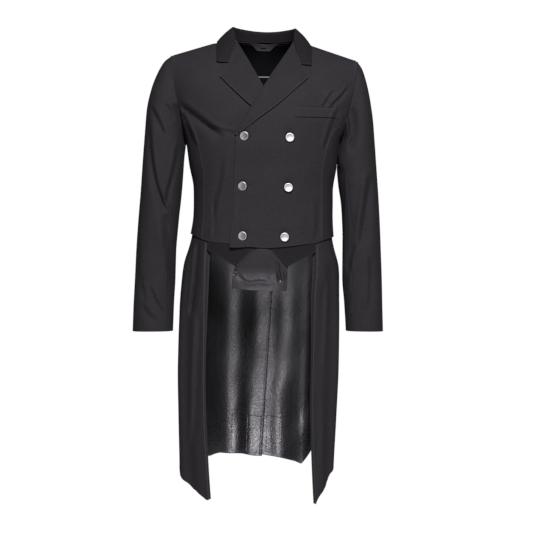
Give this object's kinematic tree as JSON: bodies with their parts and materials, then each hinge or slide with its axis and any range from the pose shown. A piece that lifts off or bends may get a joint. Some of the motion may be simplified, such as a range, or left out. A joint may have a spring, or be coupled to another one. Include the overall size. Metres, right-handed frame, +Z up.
{
  "type": "dressage tailcoat",
  "caption": "Short double-breasted riding tailcoat with notched lapels, domed metal buttons, a chest welt pocket, waistcoat points and long lined tails.",
  "frame": {"origin": "middle of the neck at the height of the neck seam, where the wearer's shoulders carry the coat", "axes": "+Z up, -Y the front, +X the wearer's left"},
  "size_m": [0.5873, 0.2588, 1.1037],
  "materials": {
    "shell_cloth": "matte technical gabardine",
    "gloss_lining": "coated lining with a soft gloss",
    "satin_lining": "satin",
    "piping": "satin piping",
    "label": "woven satin, bare",
    "button_metal": "silver, domed, with a raised rim"
  },
  "bodies": {
    "root": {"front_left": "shell_cloth", "side_left": "shell_cloth", "back_left": "shell_cloth", "lapel_left": "shell_cloth", "sleeve_top_left": "shell_cloth", "sleeve_under_left": "shell_cloth", "tail_side_left": "shell_cloth", "tail_back_left": "shell_cloth", "tail_facing_left": "shell_cloth", "waistcoat_point_left": "shell_cloth", "side_lining_left": "gloss_lining", "tail_lining_left": "gloss_lining", "front_right": "shell_cloth", "side_right": "shell_cloth", "back_right": "shell_cloth", "lapel_right": "shell_cloth", "sleeve_top_right": "shell_cloth", "sleeve_under_right": "shell_cloth", "tail_side_right": "shell_cloth", "tail_back_right": "shell_cloth", "tail_facing_right": "shell_cloth", "waistcoat_point_right": "shell_cloth", "side_lining_right": "gloss_lining", "tail_lining_right": "gloss_lining", "weight_patch_left": "gloss_lining", "weight_patch_right_1": "gloss_lining", "weight_patch_right_2": "gloss_lining", "collar": "shell_cloth", "collar_stand": "shell_cloth", "welt_pocket": "shell_cloth", "hanger_loop": "shell_cloth", "under_flap": "satin_lining", "yoke_lining": "satin_lining", "back_lining": "satin_lining", "lining_piping": "piping", "neck_label": "label", "button_1": "button_metal", "button_2": "button_metal", "button_3": "button_metal", "button_4": "button_metal", "button_5": "button_metal", "button_6": "button_metal"}
  },
  "joints": []
}
